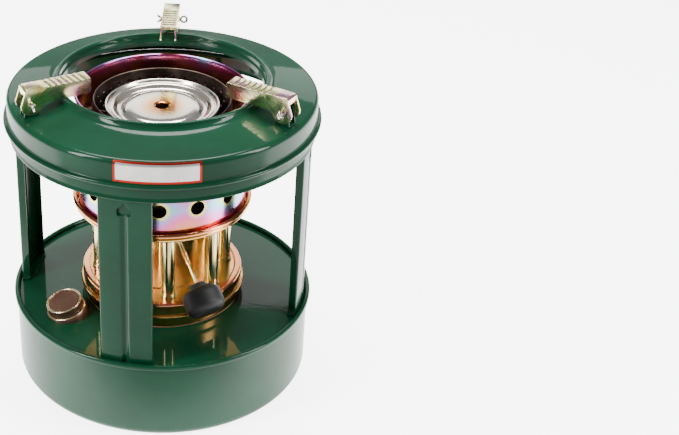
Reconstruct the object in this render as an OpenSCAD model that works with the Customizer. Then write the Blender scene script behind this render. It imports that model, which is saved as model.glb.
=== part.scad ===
// Eight-wick kerosene camp stove: fuel tank, four legs, top ring with three folding pot supports,
// and a burner of eight wick tubes, two flame tubes and an outer shell.
// Millimetres, +Z up, origin on the floor under the middle of the tank, the regulator towards -Y.

/* [Tank] */
// Outer radius of the rolled seam round the tank
tank_r = 117; // [105:1:142]
// Height of the tank up to the top of its seam
tank_h = 66.4; // [50:0.2:90]
// Sheet thickness of the tank
tank_sheet = 0.8; // [0.6:0.1:1.2]
// Radius of the tank's bottom corner
corner_r = 6.7; // [3:0.1:12]
// How far the seam stands out from the tank's wall
seam_proud = 2.2; // [1:0.1:2.2]
// Width of the seam across its roll
seam_w = 4; // [4:0.1:6]
// Height of the seam's roll
seam_h = 3.8; // [3:0.1:6]
// Depth of the deck below the top of the seam
deck_drop = 3.9; // [3:0.1:10]
// Height of the pressed panel in the tank's bottom
base_rise = 2; // [1:0.1:4]
// Width of the flat that the tank stands on
base_flat_w = 10; // [6:1:20]

/* [Filler] */
// Distance of the filler from the middle of the tank
filler_reach = 83.5; // [80:0.5:88]
// Direction of the filler, seen from above
filler_az = 209; // [200:1:235]
// Lean of the filler away from the middle
filler_tilt = 15; // [0:1:20]
// Outer radius of the filler neck
neck_r = 11.8; // [9:0.1:13]
// Wall of the filler neck
neck_wall = 1.2; // [0.8:0.1:2]
// Outer radius of the neck's foot
neck_foot_r = 16; // [15:0.1:18]
// Height of the neck's foot along the neck
neck_foot_h = 5.4; // [5:0.1:8]
// Outer radius of the filler cap
cap_r = 14; // [13.8:0.1:16]
// Height of the filler cap
cap_h = 6.8; // [6:0.1:10]
// Gap between the neck and the cap's skirt
cap_clear = 0.4; // [0.3:0.05:0.8]
// Thickness of the cap's sealing ring
cap_seal_t = 1.2; // [0.8:0.1:2]

/* [Legs] */
// Width of a leg round the stove
leg_w = 39.5; // [25:0.5:50]
// Depth of a leg's side flanges
leg_flange_d = 6; // [3:0.5:10]
// Sheet thickness of a leg
leg_sheet = 1.2; // [0.8:0.1:2]
// Height of the ring's lower edge above the deck
leg_rise = 139.2; // [136:0.2:175]
// How far a leg reaches up inside the ring
leg_lap = 10; // [6:0.5:10]
// Direction of the first leg, seen from above
leg_az = 256.3; // [250:0.1:262]
// Gap between the legs and the seam of the tank
leg_seam_gap = 0.9; // [0.8:0.1:4]
// Width of the groove down the middle of a leg
leg_groove_w = 9; // [4:0.5:12]
// Depth of the groove down the middle of a leg
leg_groove_d = 1.6; // [0.5:0.1:2]

/* [Ring] */
// Sheet thickness of the ring
ring_sheet = 0.9; // [0.7:0.1:1]
// Height of the ring's lower band
band_h = 11.2; // [10.5:0.1:16]
// Radius of the hem round the ring's skirt
hem_r = 1.5; // [1.3:0.1:2]
// How far the hem stands out from the lower band
hem_proud = 4.7; // [4.5:0.1:6]
// How far the skirt stands out from the lower band
skirt_proud = 1.8; // [1.6:0.1:3]
// Height of the ring's shoulder above its lower edge
shoulder_h = 32.3; // [30:0.1:36]
// Radius of the ring's shoulder
shoulder_r = 4; // [3:0.1:6]
// Rise of the ring's top from the shoulder to the lip
top_rise = 5; // [3:0.1:7]
// Width of the curve between the ring's top and its lip
cove_w = 7.8; // [7:0.1:9]
// Height of the lip above the ring's top
lip_h = 6; // [5:0.1:7]
// Radius of the rolled lip
lip_roll_r = 1.7; // [1.4:0.1:1.8]
// Gap between the outer shell and the ring's throat
throat_gap = 11.7; // [11:0.1:20]
// Depth of the throat below the lip
throat_d = 10; // [8:0.1:11]
// Length of the blank plate on the skirt
plate_w = 61; // [40:1:80]
// Direction of the blank plate, seen from above
plate_az = 268.3; // [262:0.1:275]
// Thickness of the blank plate
plate_t = 0.4; // [0.3:0.1:0.8]

/* [Pot supports] */
// Distance of a support's inner end from the middle
support_in_r = 59; // [50:0.5:62]
// Width of a support
support_w = 12.4; // [11:0.1:16]
// Depth of a support's side flanges
support_d = 11.7; // [10:0.1:14]
// Sheet thickness of a support
support_sheet = 1.2; // [1:0.1:1.4]
// Direction of the first support, seen from above
support_az = 85.7; // [80:0.1:92]
// Number of notches across the top of a support
notch_count = 7; // [4:1:9]
// Depth of a notch
notch_d = 0.9; // [0.4:0.1:1]
// Gap between the supports and the lip that they rest on
rest_gap = 0.3; // [0.2:0.05:0.5]
// Distance of the pivot inside the ring's shoulder
pivot_in = 6.5; // [6:0.1:8]
// Height of the pivot above the ring's top
pivot_h = 9.7; // [9.5:0.1:10]
// Radius of the round ear at a support's pivot
ear_r = 8; // [6:0.1:8.5]
// Radius of the pivot pin
pin_r = 1.5; // [1:0.1:2]
// Radial clearance of the pivot pin in its holes
pin_clear = 0.08; // [0.05:0.01:0.1]
// Gap between a support's flanges and the bracket inside them
bracket_clear = 0.4; // [0.3:0.05:0.8]

/* [Burner base] */
// Outer radius of the socket on the tank
socket_r = 62.2; // [60.5:0.1:66]
// Height of the socket's lip above the deck
socket_h = 11.5; // [9:0.1:14]
// Radius of the rolled lip on the socket
socket_lip_r = 1.5; // [1.2:0.1:1.7]
// Thickness of the cork ring under the socket
gasket_t = 1; // [0.6:0.1:2]
// Height of the platform above the deck
platform_h = 21.5; // [19:0.1:26]
// Radial fit of the platform in the socket
platform_fit = 0.3; // [0.2:0.05:0.4]
// Sheet thickness of the burner's pressings
burner_sheet = 0.8; // [0.6:0.1:1]

/* [Wicks] */
// Number of wicks
wick_count = 8; // [6:1:8]
// Radius of the circle that the wicks stand on
wick_circle_r = 48.5; // [48:0.1:48.8]
// Direction of the first wick, seen from above
wick_az = 5.5; // [0:0.5:12]
// Outer radius of a wick tube
tube_r = 5.5; // [4.5:0.1:5.6]
// Wall of a wick tube
tube_wall = 0.6; // [0.4:0.1:0.9]
// Length of the wick tubes between the platform and the gallery
tube_h = 57; // [54:0.5:70]
// Gap between a wick and its tube
wick_clear = 0.5; // [0.3:0.05:0.8]
// Height of the wicks' lower ends above the tank's bottom
wick_tail_z = 11; // [9:0.5:20]
// Height of the wick carrier below the deck
carrier_drop = 15; // [13:0.5:20]

/* [Burner head] */
// Outer radius of the outer shell
shell_r = 64; // [63:0.1:64.2]
// Height of the outer shell's rim above the gallery
shell_h = 92; // [88:0.5:93]
// Wall of the shell and the flame tubes
shell_wall = 0.6; // [0.5:0.1:0.8]
// Number of air holes in the outer shell
air_hole_count = 14; // [8:1:16]
// Radius of an air hole
air_hole_r = 5.5; // [3:0.1:7]
// Height of the air holes above the gallery
air_hole_h = 25; // [20:0.5:40]
// Outer radius of the outer flame tube at its foot
outer_tube_r = 55; // [54.6:0.1:56]
// Outer radius of the outer flame tube at its top
outer_tube_top_r = 51.4; // [51:0.1:54]
// Height of the outer flame tube
outer_tube_h = 86; // [80:0.5:88]
// Outer radius of the inner flame tube
inner_tube_r = 41.5; // [41:0.1:42]
// Outer radius of the spreader dish
dish_r = 43; // [42.8:0.1:46]
// Height of the dish's rim above the gallery
dish_h = 81.3; // [78:0.1:84]
// Radius of the hole in the dish
dish_hole_r = 5; // [3:0.1:8]
// Radius of the perforations in the flame tubes
perf_r = 1.1; // [0.8:0.1:1.5]
// Perforations in one row
perf_count = 20; // [12:1:24]
// Rows of perforations
perf_rows = 7; // [4:1:7]
// Gap between parts of the burner head and the gallery
seat_gap = 0.3; // [0.2:0.05:0.5]

/* [Regulator] */
// Tilt of the regulator's shaft below level
shaft_tilt = 39; // [36:0.5:41]
// Radius of the shaft
shaft_r = 1.15; // [1:0.05:1.4]
// Running clearance of the shaft
shaft_clear = 0.08; // [0.05:0.01:0.1]
// Level distance of the knob's middle from the middle of the stove
knob_reach = 76; // [72:0.5:82]
// Outer radius of the knob
knob_r = 15; // [11:0.1:16]
// Length of the knob's grip
knob_l = 19.5; // [14:0.5:21]
// Height of the pinion above the gallery
pinion_h = 13; // [12:0.5:16]
// Gear module of the pinion and rack
gear_m = 0.8; // [0.8:0.05:0.9]
// Teeth on the pinion
pinion_teeth = 10; // [10:1:11]
// Radius of the rod that lifts the wicks
rod_r = 2.5; // [2.3:0.1:3]
// Running clearance of the rod
rod_clear = 0.1; // [0.05:0.01:0.1]
// Backlash on each side of a tooth
backlash = 0.08; // [0.05:0.01:0.1]

/* [Hidden] */

// Facets of a large and of a small round
fine = 128;
small = 48;
// Cut depth past a face, so that no skin is left
over = 1;
// Fit of one fixed sheet part against another
snug = 0.05;

// Colours of the finishes
enamel = "#2f5f4c";
bronze_plate = "#6e5245";
yellow_zinc = "#c9bd6a";
copper_tint = "#d9a06c";
gold_zinc = "#c8b45c";
rainbow_zinc = "#d79fc0";
bright_steel = "#d9d9d6";
dark_steel = "#3a3432";

// Tank
body_r = tank_r - seam_proud;
seam_z = tank_h - seam_h;
seam_in_r = tank_r - seam_w;
deck_z = tank_h - deck_drop;
deck_corner_r = leg_seam_gap - 0.2;
deck_hole_r = socket_r - 5;

// Filler, measured along the neck from the deck
neck_top = neck_foot_h + cap_h - cap_seal_t - 1.4;
neck_tail = 6;
cap_foot = neck_foot_h + 0.6;

// Legs and ring
leg_r = seam_in_r - leg_seam_gap;
band_r = leg_r + 0.1 + ring_sheet;
ring_z = deck_z + leg_rise;
skirt_r = band_r + skirt_proud;
hem_z = ring_z + band_h + ring_sheet + snug + hem_r;
crown_r = skirt_r - shoulder_r;
crown_z = ring_z + shoulder_h;
throat_r = shell_r + throat_gap;
lip_r = throat_r + lip_roll_r;
cove_r = lip_r + cove_w;
top_slope = top_rise / (crown_r - cove_r);
lip_z = crown_z + top_rise + lip_h;

// Pot supports, worked out from the lip that they rest on
support_z = lip_z + rest_gap;
support_top_z = support_z + support_d;
pivot_r = crown_r - pivot_in;
pivot_z = ring_top(pivot_r) + pivot_h;
support_over = 4.5;
bracket_w = support_w - 2 * support_sheet - 2 * bracket_clear;

// Burner
socket_z = deck_z + gasket_t;
socket_lip_z = deck_z + socket_h;
platform_z = deck_z + platform_h;
platform_r = socket_r + 0.2;
gallery_z = platform_z + tube_h;
gallery_in_r = inner_tube_r - shell_wall - seat_gap - burner_sheet;
gallery_floor_z = gallery_z + burner_sheet;
head_z = gallery_floor_z + seat_gap;
wick_r = tube_r - tube_wall - wick_clear;
wick_top_z = gallery_floor_z + 1;
carrier_z = deck_z - carrier_drop;
carrier_sheet = 1.2;

// Regulator: the shaft lies midway between two wick tubes and passes beside the rod
shaft_az = wick_az + 6.5 * 360 / wick_count;
pitch_r = gear_m * pinion_teeth / 2;
tooth_pitch = PI * gear_m;
shaft_offset = pitch_r + 0.6 * rod_r;
pinion_z = gallery_z + pinion_h;
pinion_l = 8;
knob_s = knob_reach / cos(shaft_tilt);
sleeve_s = knob_s * 0.64;
guide_r = rod_r + rod_clear + 1.6;
housing_z = pinion_z - 9;
housing_top_z = pinion_z + 9;
rack_low = 12;
rack_high = 8;

// Height of the ring's sloping top at radius r
function ring_top(r) = crown_z + (crown_r - r) * top_slope;

// Points on an arc about c, from angle a0 to a1
function arc(c, r, a0, a1, n = 6) =
    [for (k = [0:n]) let (a = a0 + (a1 - a0) * k / n) c + r * [cos(a), sin(a)]];

// Unit vector to the left of the way from a to b
function left_of(a, b) = [a[1] - b[1], b[0] - a[0]] / norm(b - a);

// Point i of a line, moved t to the left so that the walls on both sides of it are t thick
function moved_left(line, i, t) =
    let (
        last = len(line) - 1,
        before = left_of(line[max(i - 1, 0)], line[max(i, 1)]),
        after = left_of(line[min(i, last - 1)], line[min(i + 1, last)]),
        corner = before + after
    )
    line[i] + 2 * t * corner / (corner * corner);

// Outline of a bent sheet, t thick, with its outer face on the line
function sheet(line, t) = concat(line, [for (i = [len(line) - 1:-1:0]) moved_left(line, i, t)]);

// Point at radius r and angle a
function polar(r, a) = r * [cos(a), sin(a)];

// A pressing turned from a line in the radius and height plane
module spun(line, t) {
    rotate_extrude($fn = fine) polygon(sheet(line, t));
}

// A straight tube along Z
module tube(r, wall, z0, z1, facets = small) {
    translate([0, 0, z0]) difference() {
        cylinder(r = r, h = z1 - z0, $fn = facets);
        translate([0, 0, -over]) cylinder(r = r - wall, h = z1 - z0 + 2 * over, $fn = facets);
    }
}

// Frame of the filler: Z along the neck, starting at the deck's top face
module at_filler() {
    rotate([0, 0, filler_az]) translate([filler_reach, 0, deck_z]) rotate([0, filler_tilt, 0]) children();
}

// Frame of the shaft: Z down the shaft to the knob, Y towards the rod, starting beside the rod
module at_shaft() {
    rotate([0, 0, shaft_az]) translate([0, -shaft_offset, pinion_z])
        rotate([0, 90 + shaft_tilt, 0]) children();
}

// One child at each wick
module at_wick(i) {
    rotate([0, 0, wick_az + (i - 1) * 360 / wick_count]) translate([wick_circle_r, 0, 0]) children();
}

// Frame of pot support i: X out from the middle, Y across the support
module at_support(i) {
    rotate([0, 0, support_az + i * 120]) children();
}

module tank_shell() {
    base_r = body_r - corner_r - base_flat_w;
    line = concat(
        [[0, base_rise], [base_r - base_rise, base_rise], [base_r, 0]],
        arc([body_r - corner_r, corner_r], corner_r, -90, 0),
        [[body_r, seam_z]]
    );
    color(enamel) spun(line, tank_sheet);
}

// The deck and the seam that its edge is rolled into, in one pressing
module tank_deck() {
    seam_round = seam_w * 0.45;
    bend = [seam_in_r - deck_corner_r, deck_z + deck_corner_r];
    under = (seam_z - bend[1]) / (deck_corner_r + tank_sheet);
    profile = concat(
        [[deck_hole_r, deck_z - tank_sheet], [deck_hole_r, deck_z]],
        arc(bend, deck_corner_r, -90, 0),
        arc([seam_in_r + seam_round, tank_h - seam_round], seam_round, 180, 90),
        arc([tank_r - seam_round, tank_h - seam_round], seam_round, 90, 0),
        [[tank_r, seam_z + 0.8], [tank_r - 0.8, seam_z]],
        under > 0 ? [[seam_in_r + tank_sheet, seam_z]] : [],
        arc(bend, deck_corner_r + tank_sheet, asin(min(0, max(-0.95, under))), -90)
    );
    color(enamel) difference() {
        rotate_extrude($fn = fine) polygon(profile);
        at_filler() translate([0, 0, -20]) cylinder(r = neck_r + snug, h = 40, $fn = small);
    }
}

module filler_neck() {
    color(bronze_plate) difference() {
        at_filler() union() {
            translate([0, 0, -neck_tail]) cylinder(r = neck_r, h = neck_tail + neck_top, $fn = small);
            difference() {
                translate([0, 0, -neck_tail])
                    cylinder(r = neck_foot_r, h = neck_tail + neck_foot_h, $fn = small);
                rotate([0, -filler_tilt, 0]) translate([-25, -25, -25]) cube([50, 50, 25]);
            }
        }
        at_filler() translate([0, 0, -neck_tail - over])
            cylinder(r = neck_r - neck_wall, h = neck_tail + neck_top + 2 * over, $fn = small);
    }
}

module filler_gasket() {
    color("#8a6a48") at_filler() tube(neck_r, neck_wall + 0.6, neck_top + 0.05, neck_top + cap_seal_t);
}

module filler_cap() {
    inner = neck_r + cap_clear;
    top = cap_foot + cap_h - 0.6;
    seal_top = neck_top + cap_seal_t + 0.05;
    profile = concat(
        [[0, seal_top], [inner, seal_top], [inner, cap_foot]],
        [[cap_r - 0.5, cap_foot], [cap_r, cap_foot + 0.5]],
        arc([cap_r - 0.9, top - 0.9], 0.9, 0, 180),
        [[0, top - 1]]
    );
    color(bronze_plate) at_filler() rotate_extrude($fn = fine) polygon(profile);
}

// A leg: a curved channel with a groove down its face and a foot on the deck
module leg(az) {
    half = leg_w / 2 / leg_r * 180 / PI;
    steps = 24;
    face = [
        for (k = [0:steps])
            let (
                a = half * (2 * k / steps - 1),
                s = abs(a) / 180 * PI * leg_r,
                dip = s < leg_groove_w / 2 ? leg_groove_d * (1 + cos(360 * s / leg_groove_w)) / 2 : 0
            )
            polar(leg_r - dip, a)
    ];
    section = concat([polar(leg_r - leg_flange_d, -half)], face, [polar(leg_r - leg_flange_d, half)]);
    foot = concat(
        [for (k = [-4:4]) polar(leg_r, (half + 1.6) * k / 4)],
        [for (k = [4:-1:-4]) polar(leg_r - leg_flange_d - 3, (half + 1.6) * k / 4)]
    );
    color(enamel) rotate([0, 0, az]) translate([0, 0, deck_z]) {
        linear_extrude(leg_rise + leg_lap) polygon(sheet(section, leg_sheet));
        linear_extrude(leg_sheet) polygon(foot);
    }
}

module under_ring() {
    line = [
        [band_r, ring_z], [band_r, ring_z + band_h], [skirt_r + hem_r - 0.4, ring_z + band_h]
    ];
    color(enamel) spun(line, ring_sheet);
}

module top_ring() {
    hem = [band_r + hem_proud - hem_r, hem_z];
    line = concat(
        arc(hem, hem_r, -150, 90, 10),
        [[skirt_r, hem_z + hem_r + 0.5]],
        arc([crown_r, crown_z - shoulder_r], shoulder_r, 0, 84),
        [[cove_r, crown_z + top_rise], [cove_r - 2.2, crown_z + top_rise + 0.6]],
        [[cove_r - 4, crown_z + top_rise + 2], [lip_r + lip_roll_r + 0.6, lip_z - lip_roll_r - 0.8]],
        arc([lip_r, lip_z - lip_roll_r], lip_roll_r, 0, 180, 8),
        [[throat_r, lip_z - 5], [throat_r - 1, lip_z - 5.6], [throat_r - 1, lip_z - throat_d]]
    );
    color(enamel) spun(line, ring_sheet);
}

module blank_plate() {
    span = plate_w / skirt_r * 180 / PI;
    face_r = skirt_r + snug + plate_t;
    line = concat(
        [[face_r, hem_z + hem_r + 0.9]],
        arc([crown_r, crown_z - shoulder_r], face_r - crown_r, 0, 50, 4)
    );
    color(bright_steel) rotate([0, 0, plate_az - span / 2])
        rotate_extrude(angle = span, $fn = fine) polygon(sheet(line, plate_t));
}

// Side outline of a pot support, in distance from the middle and height
function support_side() = concat(
    [[pivot_r + support_over, support_top_z - 2.5], [pivot_r + support_over - 1.2, support_top_z - 0.5]],
    [[support_in_r + 0.5, support_top_z - 0.5], [support_in_r, support_top_z - 3]],
    [[support_in_r, support_z + 2], [support_in_r + 2, support_z], [pivot_r - 18, support_z]],
    arc([pivot_r - 13, support_z - 7], 7, 110, 20, 4),
    arc([pivot_r, pivot_z], ear_r, 205, 360, 8)
);

// Edge outline of the notched top strip of a pot support
function support_strip() =
    let (
        from = support_in_r + 3,
        to = support_in_r + (pivot_r - support_in_r) * 0.74,
        step = (to - from) / notch_count,
        bend = 5.4
    )
    concat(
        [[support_in_r, support_top_z - support_sheet - notch_d], [support_in_r, support_top_z - 0.6]],
        [[support_in_r + 0.6, support_top_z]],
        [
            for (k = [0:notch_count - 1])
                for (p = [[0.34, 0], [0.46, notch_d], [0.74, notch_d], [0.86, 0]])
                    [from + (k + p[0]) * step, support_top_z - p[1]]
        ],
        [[pivot_r + support_over - 2, support_top_z]],
        arc([pivot_r + support_over - 2, support_top_z - 2], 2, 60, 0, 3),
        [[pivot_r + support_over, support_top_z - bend]],
        [[pivot_r + support_over - support_sheet, support_top_z - bend]],
        [[pivot_r + support_over - support_sheet, support_top_z - support_sheet - notch_d]]
    );

module pot_support(i) {
    color(yellow_zinc) at_support(i) difference() {
        union() {
            for (side = [-1, 1])
                translate([0, side * (support_w - support_sheet) / 2 + support_sheet / 2, 0])
                    rotate([90, 0, 0]) linear_extrude(support_sheet) polygon(support_side());
            translate([0, support_w / 2, 0])
                rotate([90, 0, 0]) linear_extrude(support_w) polygon(support_strip());
        }
        translate([pivot_r, support_w, pivot_z]) rotate([90, 0, 0])
            cylinder(r = pin_r + pin_clear, h = 2 * support_w, $fn = small);
    }
}

// A bracket on the ring that holds one support's pin: a base with two upright lugs
module support_bracket(i) {
    lug_r = 4;
    foot_l = 5.5;
    lift = 0.06;
    sheet_t = 1.2;
    base = [
        [pivot_r - foot_l, ring_top(pivot_r - foot_l) + lift],
        [pivot_r + foot_l, ring_top(pivot_r + foot_l) + lift],
        [pivot_r + foot_l, ring_top(pivot_r + foot_l) + lift + sheet_t],
        [pivot_r - foot_l, ring_top(pivot_r - foot_l) + lift + sheet_t]
    ];
    lug = concat(
        [[pivot_r - foot_l, ring_top(pivot_r - foot_l) + lift]],
        [[pivot_r + foot_l, ring_top(pivot_r + foot_l) + lift]],
        arc([pivot_r, pivot_z], lug_r, 0, 180, 10)
    );
    color(enamel) at_support(i) difference() {
        union() {
            translate([0, bracket_w / 2, 0]) rotate([90, 0, 0]) linear_extrude(bracket_w) polygon(base);
            for (side = [-1, 1])
                translate([0, side * (bracket_w - sheet_t) / 2 + sheet_t / 2, 0])
                    rotate([90, 0, 0]) linear_extrude(sheet_t) polygon(lug);
        }
        translate([pivot_r, support_w, pivot_z]) rotate([90, 0, 0])
            cylinder(r = pin_r + pin_clear, h = 2 * support_w, $fn = small);
    }
}

// A split pin with a round eye at one end and spread ends at the other
module pivot_pin(i) {
    wire_r = pin_r * 0.6;
    eye_r = pin_r + 0.9;
    reach = support_w / 2 + 0.4;
    color(bright_steel) at_support(i) translate([pivot_r, 0, pivot_z]) rotate([90, 0, 0]) {
        translate([0, 0, -reach - 1.4]) cylinder(r = pin_r, h = 2 * reach + 2.2, $fn = small);
        translate([0, 0, reach + 0.4 + eye_r]) rotate([0, 90, 0])
            rotate_extrude($fn = small) translate([eye_r, 0]) circle(r = wire_r, $fn = 24);
        for (side = [-1, 1])
            translate([0, 0, -reach - 1]) rotate([180 - side * 35, 0, 0])
                cylinder(r = wire_r, h = 5, $fn = small);
    }
}

module burner_gasket() {
    color("#8a6a48") tube(socket_r - 0.6, 3.6, deck_z, socket_z, fine);
}

module burner_socket() {
    lip = [socket_r + 0.3, socket_lip_z - socket_lip_r];
    line = concat(
        [[deck_hole_r + 0.6, socket_z]],
        arc([socket_r - 1.5, socket_z + 1.5], 1.5, -90, 0, 3),
        [[socket_r, lip[1] - socket_lip_r - 0.2]],
        arc(lip, socket_lip_r, -70, 90, 6)
    );
    color(copper_tint) spun(line, burner_sheet);
}

module burner_platform() {
    in_r = socket_r - burner_sheet - platform_fit;
    step_z = socket_lip_z + 0.2;
    round_r = 1.6;
    line = concat(
        [[in_r, socket_z + burner_sheet + 0.3], [in_r, step_z], [platform_r, step_z]],
        arc([platform_r - round_r, platform_z - round_r], round_r, 0, 90, 4),
        [[guide_r + snug, platform_z]]
    );
    color(copper_tint) difference() {
        spun(line, burner_sheet);
        for (i = [1:wick_count]) at_wick(i) translate([0, 0, platform_z - 5])
            cylinder(r = tube_r + snug, h = 10, $fn = small);
    }
}

module wick_tube(i) {
    color(gold_zinc) at_wick(i) {
        tube(tube_r, tube_wall, platform_z - 6, gallery_floor_z + 0.6);
        tube(tube_r + 0.8, 1, platform_z, platform_z + 1.4);
    }
}

module wick(i) {
    color("#e8e0cc") at_wick(i) translate([0, 0, wick_tail_z])
        cylinder(r = wick_r, h = wick_top_z - wick_tail_z, $fn = small);
}

// The plate that carries the wicks: a hub, a ring and eight sleeves in one pressing
module wick_carrier() {
    sleeve_h = 7;
    color(bright_steel) difference() {
        union() {
            translate([0, 0, carrier_z]) cylinder(r = wick_circle_r + 6.5, h = carrier_sheet, $fn = fine);
            translate([0, 0, carrier_z]) cylinder(r = rod_r + 2.5, h = 6, $fn = small);
            for (i = [1:wick_count]) at_wick(i) translate([0, 0, carrier_z])
                cylinder(r = wick_r + 0.9, h = sleeve_h, $fn = small);
        }
        translate([0, 0, carrier_z - over]) cylinder(r = rod_r + snug, h = 10, $fn = small);
        for (i = [1:wick_count]) at_wick(i) translate([0, 0, carrier_z - over])
            cylinder(r = wick_r + snug, h = sleeve_h + 2 * over, $fn = small);
        for (i = [1:4]) rotate([0, 0, wick_az + 22.5 + i * 90]) translate([26, 0, carrier_z - over])
            cylinder(r = 11, h = 5, $fn = small);
    }
}

// The rod that lifts the carrier; its rack is cut parallel to the tilted pinion
module lift_rod() {
    addendum = 0.5;
    depth = 1.2 * gear_m;
    lean = tan(20);
    half = tooth_pitch / 4 + backlash;
    reach = 3;
    gap = [
        [-half - reach * lean, pitch_r - reach], [half + reach * lean, pitch_r - reach],
        [half - depth * lean, pitch_r + depth], [-half + depth * lean, pitch_r + depth]
    ];
    step_z = tooth_pitch / cos(shaft_tilt);
    low = -ceil(rack_low / step_z);
    high = ceil(rack_high / step_z);
    color(bright_steel) difference() {
        translate([0, 0, carrier_z - 2])
            cylinder(r = rod_r, h = pinion_z + high * step_z + 3 - carrier_z + 2, $fn = small);
        for (k = [low:high]) at_shaft()
            translate([-k * tooth_pitch, 0, -k * tooth_pitch * tan(shaft_tilt) - 6])
                linear_extrude(12) polygon(gap);
        rotate([0, 0, shaft_az])
            translate([-5, -rod_r - over, pinion_z + (low - 0.5) * step_z])
            cube([10, over + rod_r - shaft_offset + pitch_r - addendum, (high - low + 1) * step_z]);
    }
}

module guide_tube() {
    color(gold_zinc) tube(guide_r, guide_r - rod_r - rod_clear, platform_z - 8, housing_z);
}

// The casting at the top of the guide tube: it holds the rod upright and the pinion in mesh
module rack_housing() {
    tip_r = pitch_r + gear_m + 0.4;
    color("#9a9a96") difference() {
        union() {
            translate([0, 0, housing_z])
                cylinder(r = guide_r + 1.6, h = housing_top_z - housing_z, $fn = small);
            at_shaft() translate([0, 0, -pinion_l / 2 - 3])
                cylinder(r = tip_r + 1.5, h = pinion_l + 6, $fn = small);
        }
        translate([0, 0, housing_z - over])
            cylinder(r = rod_r + rod_clear, h = housing_top_z - housing_z + 20, $fn = small);
        at_shaft() translate([0, 0, -pinion_l / 2 - 0.3]) cylinder(r = tip_r, h = 40, $fn = small);
        at_shaft() translate([0, 0, -30]) cylinder(r = shaft_r + shaft_clear, h = 40, $fn = small);
        translate([0, 0, housing_z - 20]) cylinder(r = guide_r + snug, h = 20, $fn = small);
    }
}

// Involute of an angle, in degrees
function involute(a) = tan(a) * 180 / PI - a;

// Half the angle that a pinion tooth covers at radius r
function tooth_half(r) =
    (tooth_pitch / 4 - backlash) / pitch_r * 180 / PI + involute(20)
    - involute(acos(min(pitch_r * cos(20) / r, 1)));

module pinion() {
    base_r = pitch_r * cos(20);
    tip_r = pitch_r + gear_m;
    root_r = pitch_r - 1.25 * gear_m;
    flank = [for (k = [0:4]) base_r + (tip_r - base_r) * k / 4];
    outline = [
        for (k = [0:pinion_teeth - 1])
            let (mid = 90 + k * 360 / pinion_teeth)
            each concat(
                [polar(root_r, mid - tooth_half(base_r))],
                [for (r = flank) polar(r, mid - tooth_half(r))],
                [for (j = [4:-1:0]) polar(flank[j], mid + tooth_half(flank[j]))],
                [polar(root_r, mid + tooth_half(base_r))]
            )
    ];
    color(gold_zinc) at_shaft() translate([0, 0, -pinion_l / 2]) difference() {
        linear_extrude(pinion_l) polygon(outline);
        translate([0, 0, -over]) cylinder(r = shaft_r + 0.02, h = pinion_l + 2 * over, $fn = small);
    }
}

module inner_shaft() {
    color(gold_zinc) at_shaft() translate([0, 0, -pinion_l / 2 - 2.8])
        cylinder(r = shaft_r, h = sleeve_s + pinion_l / 2 + 2.8 - 0.1, $fn = small);
}

module shaft_sleeve() {
    color(copper_tint) at_shaft() tube(shaft_r + 0.85, 0.83, sleeve_s - 5, sleeve_s + 5);
}

module outer_shaft() {
    color(gold_zinc) at_shaft() translate([0, 0, sleeve_s + 0.1])
        cylinder(r = shaft_r, h = knob_s - sleeve_s, $fn = small);
}

// The strap under the gallery that steadies the shaft
module shaft_bracket() {
    strap_w = 9;
    strap_t = 1.2;
    hang_s = (gallery_in_r - 4) / cos(shaft_tilt);
    hang_r = gallery_in_r - 4;
    shaft_level = pinion_z - hang_r * tan(shaft_tilt);
    color(gold_zinc) difference() {
        union() {
            rotate([0, 0, shaft_az])
                translate([hang_r - strap_t / 2, -shaft_offset - strap_w / 2, shaft_level - 3])
                    cube([strap_t, strap_w, gallery_z - snug - shaft_level + 3]);
            rotate([0, 0, shaft_az])
                translate([hang_r - strap_t / 2, -shaft_offset - strap_w / 2, gallery_z - snug - strap_t])
                    cube([9, strap_w, strap_t]);
            at_shaft() translate([0, 0, hang_s - 3]) cylinder(r = shaft_r + 1.3, h = 6, $fn = small);
        }
        at_shaft() cylinder(r = shaft_r + shaft_clear, h = 80, $fn = small);
    }
}

module knob() {
    neck = 6.5;
    neck_l = 4;
    edge = 6;
    face = knob_s + knob_l / 2;
    back = knob_s - knob_l / 2;
    profile = concat(
        [[shaft_r + 0.02, back - neck_l], [neck - 1, back - neck_l], [neck, back - neck_l + 1]],
        [[neck, back - 1], [neck + 1, back]],
        arc([knob_r - edge, back + edge], edge, -90, 0, 4),
        arc([knob_r - edge, face - edge], edge, 0, 90, 4),
        [[0, face - 0.8], [0, knob_s + 0.3], [shaft_r + 0.02, knob_s + 0.3]]
    );
    color("#2b2b2d") at_shaft() rotate_extrude($fn = fine) polygon(profile);
}

// The tray on top of the wick tubes, with its double-rolled rim
module gallery() {
    z = gallery_z;
    rim_r = shell_r + 1.3;
    roll = 1.8;
    line = concat(
        [[gallery_in_r, z + 5], [gallery_in_r, z]],
        arc([rim_r, z + roll], roll, -90, 50, 6),
        arc([rim_r + 1.4, z + 3 * roll], roll, -50, 140, 8)
    );
    color(copper_tint) difference() {
        spun(line, burner_sheet);
        for (i = [1:wick_count]) at_wick(i) translate([0, 0, z - 2])
            cylinder(r = tube_r + snug, h = 5, $fn = small);
    }
}

// Rows of perforations from height z0 to z1, cut outwards past radius r
module perforations(r, z0, z1) {
    step = (z1 - z0) / (perf_rows - 1);
    for (row = [0:perf_rows - 1], k = [0:perf_count - 1])
        rotate([0, 0, (k + (row % 2) / 2) * 360 / perf_count])
            translate([r - 4, 0, z0 + row * step]) rotate([0, 90, 0]) cylinder(r = perf_r, h = 8, $fn = 16);
}

// Holes for the cross pins, a little over their radius
module pin_holes(r) {
    for (k = [0:2]) rotate([0, 0, 40 + k * 120])
        translate([r - 4, 0, pin_level()]) rotate([0, 90, 0])
            cylinder(r = 1 + snug, h = 8, $fn = small);
}

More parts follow.
